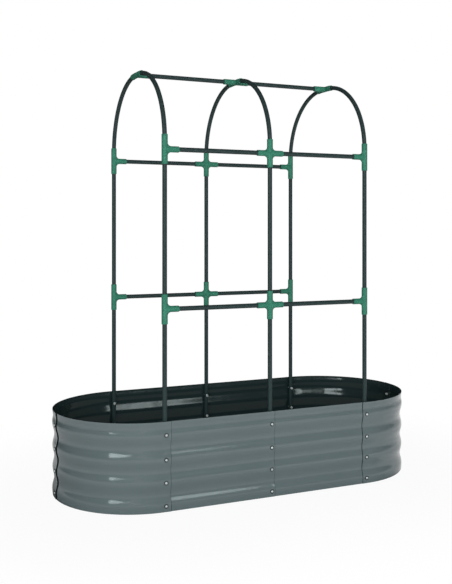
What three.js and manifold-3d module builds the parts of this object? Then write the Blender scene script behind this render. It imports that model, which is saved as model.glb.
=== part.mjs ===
// Raised bed with a tunnel-shaped plant trellis.
// An oval ring of eight corrugated sheet panels stands open on the ground. Six tube poles are
// bolted inside its seams. Level rods join the poles at two heights, and three arches with a
// ridge close the trellis over the bed. Every tube ends in a moulded socket connector.
// Millimetres, +Z up, X along the bed. The origin is on the ground in the middle of the bed.

import * as THREE from 'three';
import { mergeVertices } from 'three/addons/utils/BufferGeometryUtils.js';
import Module from 'manifold-3d';

const wasm = await Module();
wasm.setup();

// ---- Driving dimensions -------------------------------------------------------------------

// Trellis frame
const poleSpacing = 395;       // between neighbouring poles along the bed
const poleRow = 284;           // from the middle of the bed to the centres of a row of poles
const lowerRodHeight = 672;
const upperRodHeight = 1206;
const bendRise = 32;           // from the upper rods up to the centre of the arch bends
const archFlat = 23;           // half of the straight stretch on top of an arch
const tubeRadius = 8;
const tubeWall = 1;

// Socket connectors
const sleeveWall = 2.2;
const poleArm = 50;            // from the middle of a connector to the end of its upright arms
const rodArm = 50;             // the same for the arms that hold the level rods
const archArm = 50;            // the same for the arms that follow an arch
const ridgeArm = 50;           // the same for the arms that hold the ridge rods
const coreWall = 1.7;          // left between two sockets in the middle of a connector
const filletRadius = 24;       // concave corner between two arms
const filletWidth = 12;
const filletFoot = 0.65;       // a fillet starts inside the arms, at this share of their radius

// Corrugated bed wall
const wallHeight = 300;
const straightPast = 2;        // the straight sides run on this far past the end poles
const sheet = 0.6;
const ribCount = 4;
const firstRib = 19.5;         // height of the lowest crest
const rimBand = 45;            // from the top crest up to the rim
const topRibRise = 6;          // the top crest sits this much above the even pitch
const ribDepth = 6;            // crest over valley, in the middle of the wall
const edgeRibDepth = 7.6;      // crest over valley, for the lowest and the top crest
const groundFlare = 5.2;       // how far the ground edge, the dip and the rim stand out
const rimDip = 4.2;
const rimFlare = 7.2;
const ribFlat = 6.9;           // half the height of the flat on a crest or in a valley
const poleLap = 17;            // from a seam's bolts to the sheet edges, at the end poles
const middleLap = 11;          // the same at the middle poles
const endLap = 17;             // the same at the two round ends

// Bolts
const shankRadius = 3;
const headRadius = 6.5;
const headHeight = 4;
const nutRadius = 5.8;
const nutHeight = 5;

// Fit
const gap = 0.3;               // clearance between pieces that touch

// Facets
const tubeSides = 8;
const boltSides = 6;
const cornerSteps = 7;         // along a corner panel's bend
const archSteps = 6;           // along an arch's bend
const filletSteps = 2;         // along the round edge between two arms

// ---- Worked-out sizes ---------------------------------------------------------------------

const sleeveRadius = tubeRadius + gap + sleeveWall;
const socketRadius = tubeRadius + gap;
const socketStop = socketRadius + coreWall;        // from the middle to a socket's floor
const tubeEnd = socketStop + gap;
const archRadius = poleRow - archFlat;
const bendHeight = upperRodHeight + bendRise;
const ridgeHeight = bendHeight + archRadius;
const straightHalf = poleSpacing + straightPast;
const wallInner = poleRow + tubeRadius + gap;      // inner face of the wall in its valleys
const ribPitch = (wallHeight - rimBand - topRibRise - firstRib) / (ribCount - 1);
const lapStep = sheet + gap;                       // an outer sheet lies this much further out
const bendLength = Math.PI / 2 * wallInner;
const cut = 1;                                     // how far a cutting tool runs past a face

// ---- Materials ----------------------------------------------------------------------------

const panelPaint = new THREE.MeshStandardMaterial({
  color: 0x6b7677, roughness: 0.42, metalness: 0.35,
});
const tubePaint = new THREE.MeshStandardMaterial({
  color: 0x2f3b3a, roughness: 0.4, metalness: 0.2,
});
const connectorPlastic = new THREE.MeshStandardMaterial({
  color: 0x43866f, roughness: 0.55, metalness: 0,
});

// ---- Solids -------------------------------------------------------------------------------

// A closed geometry as a solid that can be cut and joined.
function solid(geometry) {
  const bare = geometry.clone();
  bare.deleteAttribute('normal');
  bare.deleteAttribute('uv');
  const merged = mergeVertices(bare);
  return new wasm.Manifold(new wasm.Mesh({
    numProp: 3,
    vertProperties: merged.attributes.position.array,
    triVerts: Uint32Array.from(merged.index.array),
  }));
}

// A solid as a geometry.
function skin(body) {
  const mesh = body.getMesh();
  const geometry = new THREE.BufferGeometry();
  geometry.setAttribute('position', new THREE.BufferAttribute(mesh.vertProperties, 3));
  geometry.setIndex(new THREE.BufferAttribute(mesh.triVerts, 1));
  geometry.computeVertexNormals();
  return geometry;
}

// Several solids as one.
function union(bodies) {
  return wasm.Manifold.union(bodies);
}

// Joins a row of rings, all with the same number of points, into one closed geometry. The
// triangles in ends close the first and the last ring. Without them the last ring is joined
// back to the first. The triangles are turned over if they come out facing inwards.
function loft(rings, ends) {
  const count = rings[0].length;
  const points = rings.flat();
  const index = [];
  const spans = ends ? rings.length - 1 : rings.length;
  for (let ring = 0; ring < spans; ring++) {
    const here = ring * count;
    const next = (ring + 1) % rings.length * count;
    for (let k = 0; k < count; k++) {
      const after = (k + 1) % count;
      index.push(here + k, here + after, next + after);
      index.push(here + k, next + after, next + k);
    }
  }
  for (const [a, b, c] of ends ?? []) {
    const last = (rings.length - 1) * count;
    index.push(c, b, a);
    index.push(last + a, last + b, last + c);
  }
  let volume = 0;
  for (let i = 0; i < index.length; i += 3) {
    const [a, b, c] = [points[index[i]], points[index[i + 1]], points[index[i + 2]]];
    volume += a.dot(b.clone().cross(c));
  }
  if (volume < 0) index.reverse();
  const geometry = new THREE.BufferGeometry().setFromPoints(points);
  geometry.setIndex(index);
  geometry.computeVertexNormals();
  return geometry;
}

// A round bar along +Z, from one height to another.
function bar(radius, from, to) {
  const geometry = new THREE.CylinderGeometry(radius, radius, to - from, tubeSides);
  return geometry.rotateX(Math.PI / 2).translate(0, 0, (from + to) / 2);
}

// A straight tube of the trellis along +Z from the origin, open at both ends.
function tube(length) {
  const bore = tubeRadius - tubeWall;
  const section = [
    new THREE.Vector2(bore, 0),
    new THREE.Vector2(tubeRadius, 0),
    new THREE.Vector2(tubeRadius, length),
    new THREE.Vector2(bore, length),
    new THREE.Vector2(bore, 0),
  ];
  return new THREE.LatheGeometry(section, tubeSides).rotateX(Math.PI / 2);
}

// ---- Arches -------------------------------------------------------------------------------

// A place on the centre line of a front arch, in the plane x = 0: turn is the angle through
// which the tube has bent, 0 at the pole and a quarter turn on top.
function archPlace(turn) {
  return {
    turn,
    y: -poleRow + archRadius * (1 - Math.cos(turn)),
    z: bendHeight + archRadius * Math.sin(turn),
  };
}

// A ring of points square to the arch's centre line. past moves it on along the tube.
function archRing(place, radius, past = 0) {
  const along = new THREE.Vector3(0, Math.sin(place.turn), Math.cos(place.turn));
  const out = new THREE.Vector3(0, -Math.cos(place.turn), Math.sin(place.turn));
  const ring = [];
  for (let k = 0; k < tubeSides; k++) {
    const angle = 2 * Math.PI * k / tubeSides;
    const point = new THREE.Vector3(0, place.y, place.z).addScaledVector(along, past);
    point.addScaledVector(out, radius * Math.cos(angle));
    point.x = radius * Math.sin(angle);
    ring.push(point);
  }
  return ring;
}

// The triangles of a flat fan that closes a ring.
function fan(count) {
  return Array.from({ length: count - 2 }, (_, k) => [0, k + 1, k + 2]);
}

// The bend reaches the mouth of the top connector's arm after this much of a turn, and it
// leaves the socket on the pole after mouthTurn.
const armTurn = Math.acos(1 - (poleRow - archArm) / archRadius);
const mouthHeight = upperRodHeight + poleArm;
const mouthTurn = Math.asin(Math.max(0, mouthHeight - bendHeight) / archRadius);
const topPlace = archPlace(Math.PI / 2);

// The centre line of half an arch. Its leg is straight inside the socket.
function archLine() {
  const line = [
    { turn: 0, y: -poleRow, z: upperRodHeight + tubeEnd },
    { turn: 0, y: -poleRow, z: Math.max(mouthHeight, bendHeight) },
  ];
  for (let step = 1; step <= archSteps; step++) {
    line.push(archPlace(mouthTurn + (armTurn - mouthTurn) * step / archSteps));
  }
  line.push(topPlace, { ...topPlace, y: -tubeEnd });
  return line;
}

function archHalf() {
  const line = archLine();
  const outer = line.map((place) => archRing(place, tubeRadius));
  const inner = line.map((place) => archRing(place, tubeRadius - tubeWall));
  return loft([...outer, ...inner.reverse()]);
}

// ---- Connectors ---------------------------------------------------------------------------

// A plate with a concave round edge that fills the corner between the arms along +X and +Z.
function fillet() {
  const foot = sleeveRadius * filletFoot;
  const reach = foot + filletRadius;
  const corner = new THREE.Shape();
  corner.moveTo(0, 0);
  corner.lineTo(reach, 0);
  for (let step = 0; step <= filletSteps; step++) {
    const angle = Math.PI / 2 * step / filletSteps;
    corner.lineTo(reach - filletRadius * Math.sin(angle), reach - filletRadius * Math.cos(angle));
  }
  corner.lineTo(0, reach);
  const plate = new THREE.ExtrudeGeometry(corner, { depth: filletWidth, bevelEnabled: false });
  return plate.translate(0, 0, -filletWidth / 2).rotateX(Math.PI / 2);
}

// The columns of poles are -1, 0 and 1 from left to right. These are the sides on which a
// column has a neighbour.
function neighbours(column) {
  return [-1, 1].filter((side) => Math.abs(column + side) <= 1);
}

// A straight arm, or the bore in it, along X on one side, or up or down along Z.
function sideArm(radius, from, to, side) {
  return solid(bar(radius, from, to).rotateY(side * Math.PI / 2));
}
function uprightArm(radius, from, to, lift) {
  return solid(bar(radius, from, to)).scale([1, 1, lift]);
}

// A connector on a pole: sockets up and down for the pole, and one for each level rod.
function poleConnector(column) {
  const arms = [];
  const bores = [];
  for (const lift of [-1, 1]) {
    arms.push(uprightArm(sleeveRadius, 0, poleArm, lift));
    bores.push(uprightArm(socketRadius, socketStop, poleArm + cut, lift));
  }
  for (const side of neighbours(column)) {
    arms.push(sideArm(sleeveRadius, 0, rodArm, side));
    bores.push(sideArm(socketRadius, socketStop, rodArm + cut, side));
    for (const lift of [-1, 1]) arms.push(solid(fillet()).scale([side, 1, lift]));
  }
  return skin(union(arms).subtract(union(bores)));
}

// The connector on top of an arch: curved sockets towards both poles, and one for each
// ridge rod.
function topConnector(column) {
  const bendEnd = archPlace(armTurn);
  const mouth = { ...bendEnd, z: bendEnd.z - ridgeHeight };
  const top = { ...topPlace, z: 0 };
  const core = { ...top, y: 0 };
  const stop = { ...top, y: -socketStop };
  const sleeveRings = [mouth, top, core].map((place) => archRing(place, sleeveRadius));
  const boreRings = [mouth, top, stop].map((place) => archRing(place, socketRadius));
  boreRings.unshift(archRing(mouth, socketRadius, -cut));
  const sleeve = solid(loft(sleeveRings, fan(tubeSides)));
  const bore = solid(loft(boreRings, fan(tubeSides)));
  const arms = [sleeve, sleeve.mirror([0, 1, 0])];
  const bores = [bore, bore.mirror([0, 1, 0])];
  for (const side of neighbours(column)) {
    arms.push(sideArm(sleeveRadius, 0, ridgeArm, side));
    bores.push(sideArm(socketRadius, socketStop, ridgeArm + cut, side));
    const web = solid(fillet().rotateX(-Math.PI / 2));
    for (const back of [-1, 1]) arms.push(web.scale([side, back, 1]));
  }
  return skin(union(arms).subtract(union(bores)));
}

// ---- Wall outline -------------------------------------------------------------------------

// Height of a crest, counted from the ground.
function crestHeight(rib) {
  const rise = rib === ribCount - 1 ? topRibRise : 0;
  return firstRib + rib * ribPitch + rise;
}

// The wall's profile turns at these heights. The second number is how far it stands out
// from its valleys there.
function wallTurns() {
  const turns = [];
  for (let rib = 0; rib < ribCount; rib++) {
    const edge = rib === 0 || rib === ribCount - 1;
    turns.push([crestHeight(rib), edge ? edgeRibDepth : ribDepth]);
    if (rib < ribCount - 1) turns.push([(crestHeight(rib) + crestHeight(rib + 1)) / 2, 0]);
  }
  turns.push([wallHeight - rimBand / 2, rimDip]);
  return turns;
}

// The profile's points from the ground to the rim, with a flat on each crest and in each
// valley, and one point for the dip under the rim.
function wallProfile() {
  const turns = wallTurns();
  const points = [[0, groundFlare]];
  turns.slice(0, -1).forEach(([height, out], k) => {
    const below = height - (k > 0 ? turns[k - 1][0] : 0);
    const above = turns[k + 1][0] - height;
    points.push([height - Math.min(ribFlat, below / 3), out]);
    points.push([height + Math.min(ribFlat, above / 3), out]);
  });
  points.push(turns.at(-1), [wallHeight, rimFlare]);
  return points;
}

// The wall in plan is measured along its inner face, from the middle of the front towards
// +X and on round the right end. Gives the place there and the direction out of the bed.
function planPlace(along) {
  if (along <= straightHalf) {
    return { place: new THREE.Vector3(along, -wallInner, 0), out: new THREE.Vector3(0, -1, 0) };
  }
  const turn = (along - straightHalf) / wallInner;
  const out = new THREE.Vector3(Math.sin(turn), -Math.cos(turn), 0);
  const place = out.clone().multiplyScalar(wallInner);
  place.x += straightHalf;
  return { place, out };
}

// ---- Panels -------------------------------------------------------------------------------

// A quarter of the wall has two panels: a straight one from the middle pole to the end pole,
// and a corner one from there to the middle of the round end. Where two panels lap, one of
// them lies outside.
const seams = {
  middle: { along: 0, lap: middleLap, onPole: true },
  pole: { along: poleSpacing, lap: poleLap, onPole: true },
  end: { along: straightHalf + bendLength, lap: endLap, onPole: false },
};

// The places along the wall where a panel has a section: both edges of each lap, and the
// steps of its bend.
function stations(from, to, steps) {
  const first = from.along + from.lap;
  const last = to.along - to.lap;
  const list = [from.along - from.lap];
  for (let step = 0; step <= steps; step++) list.push(first + (last - first) * step / steps);
  list.push(to.along + to.lap);
  return list;
}

// A bent sheet between two seams. fromOut and toOut are 1 where the panel lies outside its
// neighbour and 0 where it lies inside, and it springs from one to the other between them.
function panelSheet(from, to, fromOut, toOut, steps) {
  const profile = wallProfile();
  const first = from.along + from.lap;
  const last = to.along - to.lap;
  const rings = stations(from, to, steps).map((along) => {
    const share = THREE.MathUtils.clamp((along - first) / (last - first), 0, 1);
    const lift = lapStep * (fromOut + (toOut - fromOut) * share);
    const { place, out } = planPlace(along);
    const side = (thickness) => profile.map(([z, depth]) => {
      const spot = place.clone().addScaledVector(out, depth + lift + thickness);
      return spot.setZ(z);
    });
    return [...side(0), ...side(sheet).reverse()];
  });
  const count = profile.length;
  const ends = [];
  for (let k = 0; k < count - 1; k++) {
    const mate = 2 * count - 1 - k;
    ends.push([k, k + 1, mate], [k + 1, mate - 1, mate]);
  }
  return solid(loft(rings, ends));
}

// The line of a seam's bolts: its place on the plan's centre line, and the direction out of
// the bed. The lap between two round panels is flat, so it lies inside the true circle.
function boltLine(seam) {
  const { place, out } = planPlace(seam.along);
  const turn = Math.atan2(out.x, -out.y);
  const sag = seam.onPole ? 0 : wallInner * (1 - Math.cos(seam.lap / wallInner));
  return { base: place.addScaledVector(out, -wallInner), turn, sag };
}

// The crests carry the bolts.
function crests() {
  return wallTurns().filter(([, depth]) => depth >= ribDepth);
}

// Turns a shape round the Y axis into one on a seam's bolt line at a height.
function onSeam(geometry, seam, height) {
  const { base, turn } = boltLine(seam);
  return solid(geometry.rotateZ(turn + Math.PI).translate(base.x, base.y, height));
}

// A bolt with its nut. The head lies on the outer sheet. The nut lies behind the pole, or
// behind the inner sheet where the seam has no pole.
function bolt(seam, [height, depth]) {
  const face = wallInner + depth - boltLine(seam).sag;
  const headSeat = face + lapStep + sheet / 2;
  const nutSeat = seam.onPole ? poleRow - tubeRadius - gap : face - gap;
  const section = [
    new THREE.Vector2(0, nutSeat - nutHeight),
    new THREE.Vector2(nutRadius, nutSeat - nutHeight),
    new THREE.Vector2(nutRadius, nutSeat),
    new THREE.Vector2(shankRadius, nutSeat),
    new THREE.Vector2(shankRadius, headSeat),
    new THREE.Vector2(headRadius, headSeat),
    new THREE.Vector2(headRadius, headSeat + headHeight * 0.4),
    new THREE.Vector2(0, headSeat + headHeight),
  ];
  return onSeam(new THREE.LatheGeometry(section, boltSides), seam, height);
}

// The clearance hole for a bolt, from the middle of the bed outwards.
function boltHole(seam, [height]) {
  const length = wallInner + 2 * edgeRibDepth;
  const drill = new THREE.CylinderGeometry(shankRadius + gap, shankRadius + gap, length, boltSides);
  return onSeam(drill.translate(0, length / 2, 0), seam, height);
}

// A panel of the right half. Where it lies outside it carries the seam's bolts, and where it
// lies inside it has holes for them.
function panel([from, fromOut], [to, toOut], steps) {
  let body = panelSheet(from, to, fromOut, toOut, steps);
  for (const [seam, isOut] of [[from, fromOut], [to, toOut]]) {
    if (isOut) body = union([body, ...crests().map((crest) => bolt(seam, crest))]);
    else body = body.subtract(union(crests().map((crest) => boltHole(seam, crest))));
  }
  return body;
}

// ---- Poles --------------------------------------------------------------------------------

// The lower length of a pole, from the ground into the lower connector, drilled for the
// bolts of the seam that it stands behind.
function lowerPole(seam) {
  const holes = crests().map((crest) => boltHole(seam, crest));
  const drill = union(holes).translate([-seam.along, poleRow, 0]);
  return skin(solid(tube(lowerRodHeight - tubeEnd)).subtract(drill));
}

// ---- Assembly -----------------------------------------------------------------------------

const columnNames = ['left', 'middle', 'right'];

function mesh(name, geometry, material) {
  const piece = new THREE.Mesh(geometry, material);
  piece.name = name;
  return piece;
}

// Everything on the front side. The back side is the same, turned by half a turn, so left
// and right change places in its names.
function half(side) {
  const group = new THREE.Group();
  const flip = side === 'front' ? 1 : -1;
  const column = (index) => columnNames[1 + flip * index];
  const add = (name, geometry, material, x, z, turn = 0) => {
    const piece = mesh(`${side}_${name}`, geometry, material);
    piece.position.set(x, -poleRow, z);
    piece.rotation.y = turn;
    group.add(piece);
  };

  const panels = [
    ['straight', 1, panel([seams.middle, 0], [seams.pole, 0], 1)],
    ['corner', 1, panel([seams.pole, 1], [seams.end, 1], cornerSteps)],
    ['straight', -1, panel([seams.middle, 1], [seams.pole, 0], 1).mirror([1, 0, 0])],
    ['corner', -1, panel([seams.pole, 1], [seams.end, 0], cornerSteps).mirror([1, 0, 0])],
  ];
  for (const [kind, index, body] of panels) {
    group.add(mesh(`${side}_${column(index)}_${kind}_panel`, skin(body), panelPaint));
  }

  for (const index of [-1, 0, 1]) {
    const x = index * poleSpacing;
    const name = column(index);
    const seam = index === 0 ? seams.middle : seams.pole;
    add(`${name}_lower_pole`, lowerPole(seam), tubePaint, x, 0);
    const upperPole = tube(upperRodHeight - lowerRodHeight - 2 * tubeEnd);
    add(`${name}_upper_pole`, upperPole, tubePaint, x, lowerRodHeight + tubeEnd);
    add(`${name}_lower_connector`, poleConnector(index), connectorPlastic, x, lowerRodHeight);
    add(`${name}_upper_connector`, poleConnector(index), connectorPlastic, x, upperRodHeight);
    const arch = mesh(`${side}_${name}_arch`, archHalf(), tubePaint);
    arch.position.x = x;
    group.add(arch);
  }

  const rodLength = poleSpacing - 2 * tubeEnd;
  for (const [index, start] of [[-1, -poleSpacing], [1, 0]]) {
    for (const [level, height] of [['lower', lowerRodHeight], ['upper', upperRodHeight]]) {
      const name = `${column(index)}_${level}_rod`;
      add(name, tube(rodLength), tubePaint, start + tubeEnd, height, Math.PI / 2);
    }
  }
  return group;
}

function ridge() {
  const group = new THREE.Group();
  group.position.z = ridgeHeight;
  for (const index of [-1, 0, 1]) {
    const name = `${columnNames[1 + index]}_top_connector`;
    const connector = mesh(name, topConnector(index), connectorPlastic);
    connector.position.x = index * poleSpacing;
    group.add(connector);
  }
  for (const [name, start] of [['left', -poleSpacing], ['right', 0]]) {
    const rod = mesh(`${name}_ridge_rod`, tube(poleSpacing - 2 * tubeEnd), tubePaint);
    rod.position.x = start + tubeEnd;
    rod.rotation.y = Math.PI / 2;
    group.add(rod);
  }
  return group;
}

const planter = new THREE.Group();
const backHalf = half('back');
backHalf.rotation.z = Math.PI;
planter.add(half('front'), backHalf, ridge());

export default planter;
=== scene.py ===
import bmesh
import bpy
import numpy as np
from mathutils import Matrix


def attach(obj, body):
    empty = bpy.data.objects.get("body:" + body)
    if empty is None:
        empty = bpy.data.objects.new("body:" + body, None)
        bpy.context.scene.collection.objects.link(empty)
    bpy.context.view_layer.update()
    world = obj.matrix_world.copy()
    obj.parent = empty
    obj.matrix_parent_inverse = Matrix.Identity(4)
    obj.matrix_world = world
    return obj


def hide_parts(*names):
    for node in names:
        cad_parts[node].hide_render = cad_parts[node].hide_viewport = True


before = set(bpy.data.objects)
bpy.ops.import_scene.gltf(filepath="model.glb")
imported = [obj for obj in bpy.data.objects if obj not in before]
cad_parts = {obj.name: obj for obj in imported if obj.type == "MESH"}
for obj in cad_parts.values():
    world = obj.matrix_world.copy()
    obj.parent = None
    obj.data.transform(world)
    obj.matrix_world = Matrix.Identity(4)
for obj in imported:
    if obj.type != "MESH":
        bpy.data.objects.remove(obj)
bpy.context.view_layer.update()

# ---- Wall panels -----------------------------------------------------------------------------
# Eight sheets of 0.6 mm steel stand on edge and make the oval ring of the bed. Each is rolled
# with four round ribs and a flared rim, and painted grey outside and nearly black inside. Where
# two meet they lap, one outside the other, and are bolted together.

half_straight = 0.397        # the straight sides run this far from the middle, then turn
wall_radius = 0.2923         # from the bed's long axis to the wall's valleys
wall_height = 0.3
pole_spacing = 0.395
sheet = 0.0006
lap_step = 0.0009            # the outer one of two lapped sheets lies this much further out
rib_turns = np.array([
    [-10, 4.5, 4.8], [20.5, 7.5, 6.6], [59.5, 0, 0], [97, 5.9, 5.9], [135.5, 0, 0],
    [172.5, 6.08, 6.3], [213, 0, 0], [255, 7.4, 7.4], [278.5, 4.4, 4.4], [300.1, 6.6, 6.6],
]) / 1000                    # heights where the profile turns, and how far straight and corner
                             # panels stand out there
crests = [0.0195, 0.096, 0.1725, 0.255]
dimple_depth = 0.0004        # a bolt pulls the sheets in by this much round its head
dimple_radius = 0.0085
spring_reach = 0.006         # a free edge's spring falls to a third over this length
seams = {                    # place along the wall, from there to the sheets' edges, how far a free outer edge springs off, and how far painted shade, a dark strip on the inner sheet, shows past that edge
                             # free outer edge springs off, and how far the dark sealing strip
                             # in the lap shows past that edge
    "middle": (0, 0.011, 0.0005, 0.0019),
    "pole": (pole_spacing, 0.017, 0.0012, 0.0019),
    "end": (half_straight + np.pi / 2 * wall_radius, 0.017, 0.0023, 0.010),
}


def rib_depth(z, corner):
    """How far a straight or corner panel stands out from its valleys at height z. Between two
    turning heights the depth goes from one value to the next along half a cosine wave."""
    heights, depths = rib_turns[:, 0], rib_turns[:, 2 if corner else 1]
    k = np.clip(np.searchsorted(heights, z) - 1, 0, len(heights) - 2)
    share = (z - heights[k]) / (heights[k + 1] - heights[k])
    return depths[k] + (depths[k + 1] - depths[k]) * (1 - np.cos(np.pi * share)) / 2


def wall_plan(along):
    """Place and outward direction on the wall's inner line, measured from the middle of the
    front towards +X: straight up to half_straight, then a circle about that point."""
    turn = np.maximum(along - half_straight, 0) / wall_radius
    out = np.stack([np.sin(turn), -np.cos(turn), 0 * turn], -1)
    place = out * wall_radius
    place[..., 0] += np.minimum(along, half_straight)
    return place, out


def spaced(first, last, coarse, fine, margin):
    """Numbers from first to last, fine apart within a margin of both ends and coarse apart
    between."""
    count = lambda a, b, step: max(2, int(np.ceil((b - a) / step)) + 1)
    parts = [(first, first + margin, fine), (first + margin, last - margin, coarse),
             (last - margin, last, fine)]
    return np.unique(np.concatenate([np.linspace(a, b, count(a, b, s)) for a, b, s in parts]))


def panel_faces(start, start_out, end, end_out):
    """The faces of a bent sheet between two seams, as grids of places along the wall by
    heights, and their finishes. A point lies on the plan's line, moved outwards by the rib
    depth and the lap. The lap goes evenly from start_out to end_out, 1 for the outer sheet of
    a seam. A free outer edge springs off by a falling exponential, and each bolt pulls in a
    round dimple that falls off as a bell curve. On an inner sheet, the outside takes the dark
    finish under the lap and for a strip past the outer sheet's edge: painted shade of the gap."""
    (a, lap_a, spring_a, gap_shade_a), (b, lap_b, spring_b, gap_shade_b) = seams[start], seams[end]
    along = spaced(a - lap_a, b + lap_b, coarse=0.0075, fine=0.0017, margin=0.034)
    along[np.abs(along - a - lap_a - gap_shade_a).argmin()] = a + lap_a + gap_shade_a
    along[np.abs(along - b + lap_b + gap_shade_b).argmin()] = b - lap_b - gap_shade_b
    z = np.linspace(0, wall_height, 121)
    share = np.clip((along - a - lap_a) / (b - lap_b - a - lap_a), 0, 1)
    lift = lap_step * (start_out + (end_out - start_out) * share)
    lift = lift + start_out * spring_a * np.exp(-(along - a + lap_a) / spring_reach)
    lift = lift + end_out * spring_b * np.exp(-(b + lap_b - along) / spring_reach)
    s, h = np.meshgrid(along, z, indexing="ij")
    dimple = sum(
        np.exp(-((s - seam) ** 2 + (h - crest) ** 2) / dimple_radius ** 2)
        for seam in (a, b) for crest in crests
    )
    depth = lift[:, None] + rib_depth(h, end == "end") - dimple_depth * dimple
    place, out = wall_plan(s)
    inner = place + out * depth[..., None]
    inner[..., 2] = h
    outer = inner + out * sheet
    edges = [np.stack([inner[k], outer[k]]) for k in (0, -1)]
    rims = [np.stack([inner[:, k], outer[:, k]]) for k in (0, -1)]
    # Painted shade: an inner sheet's outside is dark under the lap and for a strip past the outer
    # edge.
    first = 0 if start_out else np.abs(along - a - lap_a - gap_shade_a).argmin()
    last = len(along) - 1 if end_out else np.abs(along - b + lap_b + gap_shade_b).argmin()
    outside = [(outer[:first + 1], 1), (outer[first:last + 1], 0), (outer[last:], 1)]
    faces = [(inner, 1)] + [face for face in outside if len(face[0]) > 1]
    return faces + [(face, 0) for face in edges + rims]


def join_grids(name, grids, finishes=None, sharp=35):
    """One closed mesh from grids of points, each an array of rows by columns by 3. Every square
    of four neighbours is a face. Points in the same place become one, which joins the grids
    and closes seams and poles. Edges that bend by more than sharp degrees stay crisp."""
    points, faces, finish, first = [], [], [], 0
    for k, grid in enumerate(grids):
        rows, columns = grid.shape[:2]
        corner = first + np.arange(rows * columns).reshape(rows, columns)
        squares = [corner[:-1, :-1], corner[:-1, 1:], corner[1:, 1:], corner[1:, :-1]]
        faces.append(np.stack(squares, -1).reshape(-1, 4))
        points.append(grid.reshape(-1, 3))
        finish.append(np.full(len(faces[-1]), finishes[k] if finishes else 0))
        first += rows * columns
    mesh = bpy.data.meshes.new(name)
    mesh.from_pydata(np.concatenate(points).tolist(), [], np.concatenate(faces).tolist())
    mesh.polygons.foreach_set("material_index", np.concatenate(finish).astype(np.int32))
    work = bmesh.new()
    work.from_mesh(mesh)
    bmesh.ops.remove_doubles(work, verts=work.verts, dist=2e-6)
    bmesh.ops.recalc_face_normals(work, faces=work.faces)
    work.to_mesh(mesh)
    work.free()
    mesh.polygons.foreach_set("use_smooth", np.ones(len(mesh.polygons), bool))
    mesh.set_sharp_from_angle(angle=np.radians(sharp))
    return mesh


def put(mesh, materials, node):
    """Adds a finished piece to the object. It stands for the CAD node named."""
    piece = bpy.data.objects.new(mesh.name, mesh)
    bpy.context.scene.collection.objects.link(piece)
    for material in materials:
        mesh.materials.append(material)
    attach(piece, "root")
    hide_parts(node)


def new_material(name):
    """An empty node material. Gives it, its shader, and two ways to work on it: node adds a
    node and sets its inputs by name, and link joins two sockets."""
    material = bpy.data.materials.new(name)
    material.use_nodes = True
    tree = material.node_tree
    shader = tree.nodes["Principled BSDF"]

    def node(kind, **inputs):
        made = tree.nodes.new("ShaderNode" + kind)
        for key, value in inputs.items():
            if key in made.inputs:
                made.inputs[key].default_value = value
            else:
                setattr(made, key, value)
        return made

    return material, shader, node, tree.links.new


def speckle(node, link, scale, detail=2.0):
    """Noise on the object's own coordinates, in cells per metre."""
    noise = node("TexNoise", Scale=scale, Detail=detail)
    link(node("TexCoord").outputs["Object"], noise.inputs["Vector"])
    return noise.outputs["Fac"]


def between(node, link, factor, low, high):
    """A colour or number that goes from low to high as the factor goes from 0.3 to 0.7."""
    if np.ndim(low):
        ramp = node("ValToRGB")
        for stop, place, colour in zip(ramp.color_ramp.elements, (0.3, 0.7), (low, high)):
            stop.position, stop.color = place, (*colour, 1)
        link(factor, ramp.inputs["Fac"])
        return ramp.outputs["Color"]
    spread = node("MapRange", **{"From Min": 0.3, "From Max": 0.7, "To Min": low, "To Max": high})
    link(factor, spread.inputs["Value"])
    return spread.outputs["Result"]


def painted_sheet(name, low, high, roughness):
    """Baked paint on rolled steel: a slow drift of tone, a fine orange-peel skin, and long
    shallow waves that the rollers leave."""
    material, shader, node, link = new_material(name)
    link(between(node, link, speckle(node, link, 3.5, 4), low, high), shader.inputs["Base Color"])
    shade = between(node, link, speckle(node, link, 40), roughness - 0.03, roughness + 0.04)
    link(shade, shader.inputs["Roughness"])
    waves = node("Bump", Strength=0.08, Distance=0.001)
    link(speckle(node, link, 14, 1), waves.inputs["Height"])
    peel = node("Bump", Strength=0.04, Distance=0.00004)
    link(speckle(node, link, 900), peel.inputs["Height"])
    link(waves.outputs["Normal"], peel.inputs["Normal"])
    link(peel.outputs["Normal"], shader.inputs["Normal"])
    shader.inputs["IOR"].default_value = 1.5
    return material


grey_paint = painted_sheet("grey_paint", (0.0975, 0.1250, 0.1300), (0.1045, 0.1330, 0.1390), 0.10)
# The dark coat is the sheets' inside colour, and is also painted as shade in a strip past each
# lapped edge.
dark_coat_and_gap_shade = painted_sheet("dark_coat_and_gap_shade", (0.0128, 0.0235, 0.0240), (0.0145, 0.0260, 0.0265), 0.12)

quarters = {                 # start seam, lap there, end seam, lap there, mirrored
    "right_straight_panel": ("middle", 0, "pole", 0, False),
    "right_corner_panel": ("pole", 1, "end", 1, False),
    "left_straight_panel": ("middle", 1, "pole", 0, True),
    "left_corner_panel": ("pole", 1, "end", 0, True),
}
swap_sides = lambda name: name.replace("right", "*").replace("left", "right").replace("*", "left")
half_turn = np.array([-1, -1, 1])
for name, (*ends, mirrored) in quarters.items():
    grids, finishes = zip(*panel_faces(*ends))
    if mirrored:
        grids = [grid * [-1, 1, 1] for grid in grids]
    for side, place, turn in (("front", name, 1), ("back", swap_sides(name), half_turn)):
        node_name = f"{side}_{place}"
        mesh = join_grids(node_name + "_sheet", [grid * turn for grid in grids], finishes)
        put(mesh, [grey_paint, dark_coat_and_gap_shade], node_name)

# ---- Seam bolts ------------------------------------------------------------------------------
# Four zinc-plated bolts with small domed heads hold each seam, one on every rib, with a dark
# rubber washer under the head. At the six poles a bolt runs through both sheets and the pole. A
# steel washer and a hexagon nut sit behind.

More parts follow.
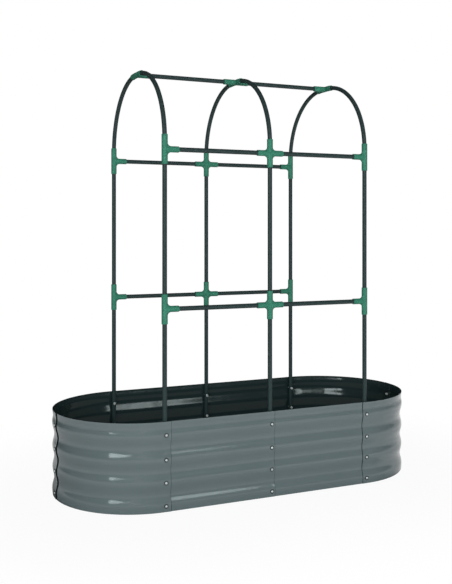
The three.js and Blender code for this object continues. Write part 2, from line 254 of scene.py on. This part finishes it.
head_radius = 0.0042
head_height = 0.0024
washer_radius = 0.0076       # the rubber washer under the head
washer_height = 0.0010
washer_hole = 0.0031
let_in = 0.0004              # the rubber washer's back lies this far inside the dimpled sheet
shank_radius = 0.003
nut_apothem = 0.004          # half the width across the nut's flats
nut_height = 0.0037
steel_washer_radius = 0.0048
steel_washer_height = 0.0011
thread_past_washer = 0.0063  # from the steel washer to the bolt's end
clearance = 0.0003
pole_row = 0.284             # from the bed's long axis to the poles' centres
tube_radius = 0.008


def turned(rings, angle):
    """Rings about the Y axis from their distance out along -Y and their radius."""
    return np.stack([
        np.stack([r * np.cos(angle), np.full_like(angle, -y), r * np.sin(angle)], -1)
        for y, r in rings
    ])


def hexagon(angle, apothem):
    """Distance from the centre to the side of a hexagon in the direction of each angle."""
    return apothem / np.cos((angle + np.pi / 6) % (np.pi / 3) - np.pi / 6)


def bolt_grid(head_seat, nut_seat):
    """A bolt with its washer and nut, turned about Y and pointing out along -Y. Each row is a
    ring at a distance from the bed's axis: a circle, or a hexagon for the nut. The head is a
    cap of a flattened ball, cut off at 0.95 of the ball's radius."""
    angle = np.linspace(0, 2 * np.pi, 37)
    ring = np.ones_like(angle)
    crown = np.linspace(0, head_radius, 11)
    height = np.sqrt(1 - (crown / head_radius * 0.95) ** 2)
    rings = [(head_seat + head_height * h, r * ring) for r, h in zip(crown, height)]
    under_head = head_seat - 0.0002
    rings += [(under_head, head_radius * ring), (under_head, shank_radius * ring)]
    nut_face = nut_seat - steel_washer_height
    nut_back = nut_face - nut_height
    bolt_end = nut_face - thread_past_washer
    rings += [(nut_seat, shank_radius * ring), (nut_seat, steel_washer_radius * ring),
              (nut_face, steel_washer_radius * ring),
              (nut_face, hexagon(angle, nut_apothem - 0.0003)),
              (nut_face - 0.0004, hexagon(angle, nut_apothem)),
              (nut_back + 0.0005, hexagon(angle, nut_apothem)),
              (nut_back, (nut_apothem - 0.0002) * ring), (nut_back, shank_radius * ring),
              (bolt_end + 0.0005, shank_radius * ring), (bolt_end, (shank_radius - 0.0005) * ring),
              (bolt_end, 0 * ring)]
    return turned(rings, angle)


def washer_grid(seat):
    """The rubber washer under a bolt's head: a flat ring with a rounded rim, seated on the
    sheet's crest and a little let into it."""
    angle = np.linspace(0, 2 * np.pi, 37)
    rim = [(0.5, 1.0), (0.85, 0.96), (1.0, 0.88)]     # shares of the height and of the radius
    rings = [(seat - let_in, washer_hole), (seat - let_in, washer_radius)]
    rings += [(seat + washer_height * up, washer_radius * out) for up, out in rim]
    rings += [(seat + washer_height, washer_hole), (seat - let_in, washer_hole)]
    return turned([(y, r + 0 * angle) for y, r in rings], angle)


def zinc_plate():
    """Bright zinc with a pale bloom: part metal, part matt, with small changes in gloss."""
    material, shader, node, link = new_material("zinc_plate")
    low, high = (0.66, 0.68, 0.69), (0.82, 0.84, 0.85)
    link(between(node, link, speckle(node, link, 260), low, high), shader.inputs["Base Color"])
    link(between(node, link, speckle(node, link, 700), 0.24, 0.42), shader.inputs["Roughness"])
    shader.inputs["Metallic"].default_value = 0.55
    return material


def rubber():
    """Black rubber, matt and even."""
    material, shader, node, link = new_material("rubber")
    low, high = (0.012, 0.020, 0.021), (0.02, 0.03, 0.031)
    link(between(node, link, speckle(node, link, 300), low, high), shader.inputs["Base Color"])
    shader.inputs["Roughness"].default_value = 0.7
    return material


zinc, black_rubber = zinc_plate(), rubber()
outer_of_seam = {            # the seam's place, its turn, and the sheet that lies outside there
    "front_middle": (0, 0, "front_left_straight_panel"),
    "front_right": (pole_spacing, 0, "front_right_corner_panel"),
    "front_left": (-pole_spacing, 0, "front_left_corner_panel"),
    "right_end": (half_straight, np.pi / 2, "front_right_corner_panel"),
    "back_middle": (0, np.pi, "back_right_straight_panel"),
    "back_left": (-pole_spacing, np.pi, "back_left_corner_panel"),
    "back_right": (pole_spacing, np.pi, "back_right_corner_panel"),
    "left_end": (-half_straight, -np.pi / 2, "back_left_corner_panel"),
}
for seam, (x, turn, sheet_node) in outer_of_seam.items():
    has_pole = "end" not in seam
    grids = []
    for crest in crests:
        face = wall_radius + rib_depth(np.array(crest), "middle" not in seam) - dimple_depth
        nut_seat = (pole_row - tube_radius if has_pole else face) - clearance
        seat = face + lap_step + sheet
        for grid in (bolt_grid(seat + washer_height, nut_seat), washer_grid(seat)):
            across, away = grid[..., 0].copy(), grid[..., 1].copy()
            grid[..., 0] = x + across * np.cos(turn) - away * np.sin(turn)
            grid[..., 1] = across * np.sin(turn) + away * np.cos(turn)
            grid[..., 2] += crest
            grids.append(grid)
    mesh = join_grids(seam + "_seam_bolts", grids, [0, 1] * len(crests), sharp=28)
    put(mesh, [zinc, black_rubber], sheet_node)

# ---- Lower poles -----------------------------------------------------------------------------
# Six straight tubes, 16 mm across with a 1 mm wall, stand on the ground inside the bed's seams.
# They are steel with a dark green powder coat, cut square with the burr taken off.

tube_wall = 0.001
tube_seat = 0.0103           # from the middle of a connector to a tube's end
lower_height = 0.672


def tube_grid(line, sides=48):
    """The skin of a tube along a line of points, as rings round the line. The outer skin is
    followed by the inner one, with a small bevel at both ends, and the last ring meets the
    first. The rings stand square to the line, in its plane and across it."""
    line = np.asarray(line, float)
    ahead = np.gradient(line, axis=0)
    ahead /= np.linalg.norm(ahead, axis=1, keepdims=True)
    across = np.array([0, 1, 0]) if abs(ahead[0, 0]) > 0.5 else np.array([1, 0, 0])
    up = np.cross(across, ahead)
    bevel = 0.0003
    angle = np.linspace(0, 2 * np.pi, sides + 1)[:, None]

    def ring(k, radius, slide=0.0):
        spoke = np.cos(angle) * across + np.sin(angle) * up[k]
        return line[k] + ahead[k] * slide + spoke * radius

    bore = tube_radius - tube_wall
    rings = [ring(0, tube_radius - bevel), ring(0, tube_radius, bevel)]
    rings += [ring(k, tube_radius) for k in range(1, len(line) - 1)]
    rings += [ring(-1, tube_radius, -bevel), ring(-1, tube_radius - bevel)]
    rings += [ring(-1, bore)] + [ring(k, bore) for k in range(len(line) - 2, 0, -1)]
    rings += [ring(0, bore), rings[0]]
    return np.stack(rings)


def powder_coat():
    """Dark green powder coat: an even satin colour over a very fine pebbled skin."""
    material, shader, node, link = new_material("powder_coat")
    low, high = (0.0190, 0.0340, 0.0335), (0.0220, 0.0380, 0.0375)
    link(between(node, link, speckle(node, link, 60, 3), low, high), shader.inputs["Base Color"])
    link(between(node, link, speckle(node, link, 300), 0.33, 0.43), shader.inputs["Roughness"])
    pebbles = node("Bump", Strength=0.05, Distance=0.00003)
    link(speckle(node, link, 1400), pebbles.inputs["Height"])
    link(pebbles.outputs["Normal"], shader.inputs["Normal"])
    shader.inputs["IOR"].default_value = 1.3
    return material


green_black = powder_coat()
columns = {"left": -pole_spacing, "middle": 0.0, "right": pole_spacing}
rows = {"front": -pole_row, "back": pole_row}
for row, y in rows.items():
    for column, x in columns.items():
        line = np.linspace([x, y, 0], [x, y, lower_height - tube_seat], 5)
        mesh = join_grids(f"{row}_{column}_lower_tube", [tube_grid(line)])
        put(mesh, [green_black], f"{row}_{column}_lower_pole")

# ---- Pole connectors -------------------------------------------------------------------------
# Moulded green plastic sockets. One sits on every pole at each of the two rod heights: a tee on
# the end poles and a cross on the middle ones. Tubes push in up to a stop.

upper_height = 1.206
sleeve_radius = 0.0105
socket_radius = 0.0083
socket_stop = 0.010
fillet_size = 0.0125         # radius of the rounded corner between two arms, at its widest
arm_reach = 0.050
mouth_round = 0.0007         # length of the rounding at an arm's mouth


def half_arm(joined):
    """Half of a connector's arm, as places along the arm, beside it and across it. The arm is
    a cylinder. For each angle round it, h is how far its skin lies beside the middle line.
    Where another arm joins on this side, the skin starts on the mitre between them and
    follows a quarter-circle fillet whose radius is in proportion to h, so the fillet fades
    out at the front and back. At the mouth the skin turns in and becomes the bore."""
    angle = np.linspace(0, np.pi, 25)
    h, across = sleeve_radius * np.sin(angle), sleeve_radius * np.cos(angle)
    h[[0, -1]] = 0
    skin = []
    start = 0 * h
    if joined:
        radius = h * fillet_size / sleeve_radius
        for part in np.linspace(np.pi / 4, 0, 8):
            turned_in = radius - radius * np.cos(part)
            skin.append((h + radius - radius * np.sin(part), h + turned_in, across))
        start = h + radius
    for share in np.linspace(0, 1, 6)[1 if joined else 0:]:
        skin.append((start + (arm_reach - mouth_round - start) * share, h, across))
    bore = socket_radius / sleeve_radius
    mouth = [(arm_reach - 0.0002, 0.975), (arm_reach, 0.935), (arm_reach, 0.83),
             (arm_reach - 0.0006, bore), (socket_stop, bore), (socket_stop, 0)]
    skin += [(np.full_like(h, s), h * size, across * size) for s, size in mouth]
    return np.array([np.stack(row, -1) for row in skin])


def connector_grids(ways):
    """All the half arms of a connector, in its own plane. ways lists the directions of its
    arms in that plane, as (u, v). Gives grids of (u, v, across)."""
    grids = []
    for u, v in ways:
        for beside in ((-v, u), (v, -u)):
            grid = half_arm(beside in ways)
            along, h, across = np.moveaxis(grid, -1, 0)
            grids.append(np.stack([
                along * u + h * beside[0], along * v + h * beside[1], across,
            ], -1))
    return grids


def moulded_plastic():
    """Green moulded plastic: a soft satin skin, slightly cloudy in tone."""
    material, shader, node, link = new_material("moulded_plastic")
    low, high = (0.027, 0.156, 0.099), (0.035, 0.184, 0.120)
    link(between(node, link, speckle(node, link, 45, 3), low, high), shader.inputs["Base Color"])
    link(between(node, link, speckle(node, link, 200), 0.40, 0.52), shader.inputs["Roughness"])
    grain = node("Bump", Strength=0.15, Distance=0.00008)
    link(speckle(node, link, 1100), grain.inputs["Height"])
    link(grain.outputs["Normal"], shader.inputs["Normal"])
    shader.inputs["IOR"].default_value = 1.33
    return material


green_plastic = moulded_plastic()
sides_of = {"left": [1], "middle": [-1, 1], "right": [-1]}   # where a column has a neighbour
for row, y in rows.items():
    for column, x in columns.items():
        ways = [(0, 1), (0, -1)] + [(side, 0) for side in sides_of[column]]
        flat = connector_grids(ways)
        for level, height in (("lower", lower_height), ("upper", upper_height)):
            grids = [np.stack([g[..., 0] + x, g[..., 2] + y, g[..., 1] + height], -1) for g in flat]
            mesh = join_grids(f"{row}_{column}_{level}_socket", grids, sharp=50)
            put(mesh, [green_plastic], f"{row}_{column}_{level}_connector")

# ---- Upper poles and level rods --------------------------------------------------------------
# The upper poles stand in the lower connectors and carry the upper ones. Level rods of the same
# coated tube push into the connectors' side arms and tie the poles of a row together.

for row, y in rows.items():
    for column, x in columns.items():
        line = np.linspace([x, y, lower_height + tube_seat], [x, y, upper_height - tube_seat], 5)
        mesh = join_grids(f"{row}_{column}_upper_tube", [tube_grid(line)])
        put(mesh, [green_black], f"{row}_{column}_upper_pole")
    for side, x in (("left", -pole_spacing), ("right", 0.0)):
        for level, z in (("lower", lower_height), ("upper", upper_height)):
            line = np.linspace([x + tube_seat, y, z], [x + pole_spacing - tube_seat, y, z], 5)
            mesh = join_grids(f"{row}_{side}_{level}_crossbar", [tube_grid(line)])
            put(mesh, [green_black], f"{row}_{side}_{level}_rod")

# ---- Arches ----------------------------------------------------------------------------------
# Each arch is two bent tubes. One rises from each upper connector, bends through a quarter
# circle over the bed and runs level into the connector on top.

bend_height = 1.238
arch_flat = 0.023
arch_radius = pole_row - arch_flat


def arch_line(x, row):
    """The centre line of half an arch: up from the socket, then a quarter circle about a
    point arch_flat short of the bed's middle plane, then level to the tube's end."""
    turn = np.linspace(0, np.pi / 2, 49)
    y = pole_row - arch_radius * (1 - np.cos(turn))
    z = bend_height + arch_radius * np.sin(turn)
    y = np.concatenate([[pole_row], y, [tube_seat]])
    z = np.concatenate([[upper_height + tube_seat], z, [z[-1]]])
    return np.stack([np.full_like(y, x), y if row == "back" else -y, z], -1)


for row in rows:
    for column, x in columns.items():
        mesh = join_grids(f"{row}_{column}_arch_tube", [tube_grid(arch_line(x, row))])
        put(mesh, [green_black], f"{row}_{column}_arch")

# ---- Top connectors and ridge ----------------------------------------------------------------
# The same moulded sockets, with two arms that follow the arch's curve and one for each ridge
# rod. They join the two halves of an arch and carry the ridge.

ridge_height = bend_height + arch_radius


def over_arch(grid):
    """Bends a flat connector over the arch. Past the level stretch, the distance along an arm
    becomes a turn about the arch's centre, and the height over the plane adds to its radius."""
    x, y, up = np.moveaxis(grid, -1, 0)
    past = np.maximum(np.abs(y) - arch_flat, 0) / arch_radius
    level = np.minimum(np.abs(y), arch_flat)
    bent_y = np.sign(y) * (level + (arch_radius + up) * np.sin(past))
    z = ridge_height - arch_radius + (arch_radius + up) * np.cos(past)
    return np.stack([x, bent_y, z], -1)


for column, x in columns.items():
    ways = [(0, 1), (0, -1)] + [(side, 0) for side in sides_of[column]]
    grids = [over_arch(grid) + [x, 0, 0] for grid in connector_grids(ways)]
    mesh = join_grids(f"{column}_top_socket", grids, sharp=50)
    put(mesh, [green_plastic], f"{column}_top_connector")
for side, x in (("left", -pole_spacing), ("right", 0.0)):
    ends = [[x + tube_seat, 0, ridge_height], [x + pole_spacing - tube_seat, 0, ridge_height]]
    mesh = join_grids(f"{side}_ridge_tube", [tube_grid(np.linspace(*ends, 5))])
    put(mesh, [green_black], f"{side}_ridge_rod")

# ---- Camera ----------------------------------------------------------------------------------
# It stands to the left of the bed's middle, a little under a metre up, and looks level. The
# picture's middle is moved down to take in the bed.

camera = bpy.data.objects.new("camera", bpy.data.cameras.new("camera"))
bpy.context.scene.collection.objects.link(camera)
camera.location = (-1.4063, -2.9889, 0.93795)
camera.rotation_euler = (np.pi / 2, 0, np.radians(-24.56))
camera.data.sensor_width = 36
camera.data.lens = 53.27
camera.data.shift_y = -0.10717
bpy.context.scene.camera = camera

# ---- Floor, backdrop and light ---------------------------------------------------------------
# A pale floor that fades into a white backdrop, and soft studio lamps. The bed's gloss shows
# the lamps, a glow of the floor and dim studio walls, as the photograph's reflections do.


def number_nodes(tree):
    """Ways to add nodes that work on numbers: math joins sockets by an operation, and fall
    maps a socket from one range to another, softly or in a straight line."""
    def math(operation, *sockets):
        made = tree.nodes.new("ShaderNodeMath")
        made.operation = operation
        for k, socket in enumerate(sockets):
            tree.links.new(socket, made.inputs[k])
        return made.outputs[0]

    def fall(socket, start, end, low, high, kind="SMOOTHSTEP"):
        made = tree.nodes.new("ShaderNodeMapRange")
        made.interpolation_type = kind
        values = {"From Min": start, "From Max": end, "To Min": low, "To Max": high}
        for key, value in values.items():
            made.inputs[key].default_value = value
        tree.links.new(socket, made.inputs["Value"])
        return made.outputs["Result"]

    return math, fall


# The room: white where it is seen or mirrored, and a weak even light on everything else.
world = bpy.data.worlds.new("studio")
bpy.context.scene.world = world
world.use_nodes = True
tree = world.node_tree
room = tree.nodes["Background"]
room.inputs["Color"].default_value = (1, 1, 1, 1)
room.inputs["Strength"].default_value = 0.28
white = tree.nodes.new("ShaderNodeBackground")
white.inputs["Color"].default_value = (1, 1, 1, 1)
white.inputs["Strength"].default_value = 1.0
pick = tree.nodes.new("ShaderNodeMixShader")
math, fall = number_nodes(tree)
path = tree.nodes.new("ShaderNodeLightPath").outputs
mirrored = math("MAXIMUM", path["Is Glossy Ray"], path["Is Transmission Ray"])
tree.links.new(math("MAXIMUM", path["Is Camera Ray"], mirrored), pick.inputs["Fac"])
tree.links.new(room.outputs[0], pick.inputs[1])
tree.links.new(white.outputs[0], pick.inputs[2])
tree.links.new(pick.outputs[0], tree.nodes["World Output"].inputs["Surface"])

# The floor's mesh: four squares, a hair under the ground plane.
span = np.linspace(-20, 20, 3)
gx, gy = np.meshgrid(span, span, indexing="ij")
floor_grid = np.stack([gx, gy, 0 * gx], -1).reshape(-1, 3)
floor_faces = [(k, k + 3, k + 4, k + 1) for k in (0, 1, 3, 4)]
floor_mesh = bpy.data.meshes.new("floor")
floor_mesh.from_pydata(floor_grid.tolist(), [], floor_faces)
floor = bpy.data.objects.new("floor", floor_mesh)
bpy.context.scene.collection.objects.link(floor)
floor.location.z = -0.0002

# The floor's paper takes light and shadow. Over it lies a glow, nearly all of what is seen.
material = bpy.data.materials.new("floor")
material.use_nodes = True
tree = material.node_tree
tree.nodes.clear()
paper = tree.nodes.new("ShaderNodeBsdfDiffuse")
paper.inputs["Color"].default_value = (0.8, 0.8, 0.8, 1)
glow = tree.nodes.new("ShaderNodeEmission")
place = tree.nodes.new("ShaderNodeTexCoord")

# Distance from the bed's middle line, which runs from one end's centre to the other's.
past = place.outputs["Object"]
for operation, operand in (("ABSOLUTE", None), ("SUBTRACT", (half_straight, 0, 0)),
                           ("MAXIMUM", (0, 0, 0)), ("LENGTH", None)):
    step = tree.nodes.new("ShaderNodeVectorMath")
    step.operation = operation
    tree.links.new(past, step.inputs[0])
    if operand:
        step.inputs[1].default_value = operand
    past = step.outputs["Value" if operation == "LENGTH" else "Vector"]
split = tree.nodes.new("ShaderNodeSeparateXYZ")
tree.links.new(place.outputs["Object"], split.inputs[0])
to_right, to_back = split.outputs["X"], split.outputs["Y"]

# How much of the camera's view is glow, and how bright gloss shows the floor: dark at the
# wall's foot, brightest a metre out, brighter to the right, dim inside the bed, and fading to
# nothing behind it. Its dimming towards the bed, dark at the foot and dim inside, is a painted
# shadow of the bed in the glow that gloss sees.
math, fall = number_nodes(tree)
path = tree.nodes.new("ShaderNodeLightPath").outputs
mirrored = math("MAXIMUM", path["Is Glossy Ray"], path["Is Transmission Ray"])
seen = math("MULTIPLY", path["Is Camera Ray"], fall(past, 0.35, 1.2, 0.94, 1.0))
near = math("SQRT", fall(past, 0.30, 1.3, 0, 1, "LINEAR"))
near = math("MULTIPLY", near, fall(past, 0.8, 2.5, 1.0, 0.65))
near = math("MULTIPLY", near, fall(to_right, -0.3, 0.9, 1.0, 1.2))
near = math("MAXIMUM", near, fall(to_right, 0.45, 0.65, 0, 0.85))
# Painted shadow: no glow under the wall's foot, and a dim one inside the bed.
near = math("MULTIPLY", near, fall(past, 0.285, 0.30, 0, 1))
near = math("MAXIMUM", near, fall(past, 0.26, 0.29, 0.22, 0))
shown = math("MULTIPLY", near, fall(to_back, 0, 3, 1, 0))
level = math("MAXIMUM", math("MULTIPLY", mirrored, shown), path["Is Camera Ray"])
tree.links.new(level, glow.inputs["Strength"])
mix = tree.nodes.new("ShaderNodeMixShader")
tree.links.new(math("MAXIMUM", seen, mirrored), mix.inputs["Fac"])
tree.links.new(paper.outputs[0], mix.inputs[1])
tree.links.new(glow.outputs[0], mix.inputs[2])
output = tree.nodes.new("ShaderNodeOutputMaterial")
tree.links.new(mix.outputs[0], output.inputs["Surface"])
floor_mesh.materials.append(material)


def softbox(name, azimuth, elevation, distance, size, radiance, roll=0, tint=(0.88, 1, 1)):
    """A rectangular lamp seen from a point low in the bed at an azimuth from -Y towards -X and
    an elevation. It faces that point. Its power is its radiance times its area times pi."""
    a, e = np.radians(azimuth), np.radians(elevation)
    back = np.array([-np.sin(a) * np.cos(e), -np.cos(a) * np.cos(e), np.sin(e)])
    lamp = bpy.data.lights.new(name, "AREA")
    lamp.shape = "RECTANGLE"
    lamp.size, lamp.size_y = size
    lamp.energy = radiance * size[0] * size[1] * np.pi
    lamp.color = tint
    thing = bpy.data.objects.new(name, lamp)
    bpy.context.scene.collection.objects.link(thing)
    thing.location = np.array([0, 0, 0.2]) + back * distance
    thing.rotation_mode = "QUATERNION"
    level = Matrix.Rotation(-a, 4, "Z") @ Matrix.Rotation(np.pi / 2 - e, 4, "X")
    thing.rotation_quaternion = (level @ Matrix.Rotation(np.radians(roll), 4, "Z")).to_quaternion()
    return thing


# Three lamps light the paint and stay out of its gloss: one from the camera's side and two
# weaker ones for the back and the right end.
for name, azimuth, elevation, radiance in (
    ("key", 18, 7.3, 12.8), ("rear", 200, 9, 8.0), ("beside", 245, 9, 4.0),
):
    lamp = softbox(name, azimuth, elevation, 7, (3.0, 2.5), radiance, tint=(1, 1, 1))
    lamp.visible_glossy = False

# Four more lamps show as bright streaks and spots under the ribs.
softbox("lamp_right", -18.5, 15.7, 5.3, (0.82, 1.1), 4.6, roll=10)
softbox("lamp_front", -3, 21.5, 12, (4.4, 1.7), 2.3)
softbox("lamp_middle", 17, 21.5, 12, (3.2, 1.7), 1.3)
softbox("lamp_left", 43, 15.1, 12, (6.0, 2.3), 6.5, roll=12)

# Dim studio walls and ceiling, which only gloss shows. They are brightest in front on the
# left, about half as bright elsewhere, and fade upwards.
turn = np.linspace(0, 2 * np.pi, 65)
shell = [(14, 0), (14, 1.5), (14, 3), (14, 5), (14, 8), (10, 10), (0, 10)]   # radius and height
rings = [np.stack([r * np.cos(turn), r * np.sin(turn), 0 * turn + h], -1) for r, h in shell]
tent_mesh = join_grids("studio_walls", [np.stack(rings)])
tent = bpy.data.objects.new("studio_walls", tent_mesh)
bpy.context.scene.collection.objects.link(tent)
tent.visible_camera = tent.visible_diffuse = tent.visible_shadow = False
tent.visible_transmission = False
material = bpy.data.materials.new("studio_walls")
material.use_nodes = True
tree = material.node_tree
tree.nodes.remove(tree.nodes["Principled BSDF"])
glow = tree.nodes.new("ShaderNodeEmission")
place = tree.nodes.new("ShaderNodeTexCoord")
split = tree.nodes.new("ShaderNodeSeparateXYZ")
tree.links.new(place.outputs["Object"], split.inputs[0])
math, fall = number_nodes(tree)
to_right, to_back, up = (split.outputs[axis] for axis in "XYZ")
level = math("MULTIPLY", fall(to_right, 0, 5, 1.0, 0.45), fall(to_back, -14, -5, 1.0, 0.4))
level = math("MAXIMUM", level, fall(to_right, 2, 6, 0, 0.5))
level = math("MULTIPLY", fall(up, 0, 8, 0.26, 0.15), level)
tree.links.new(level, glow.inputs["Strength"])
tree.links.new(glow.outputs[0], tree.nodes["Material Output"].inputs["Surface"])
tent_mesh.materials.append(material)
bpy.context.scene.view_settings.view_transform = "Standard"
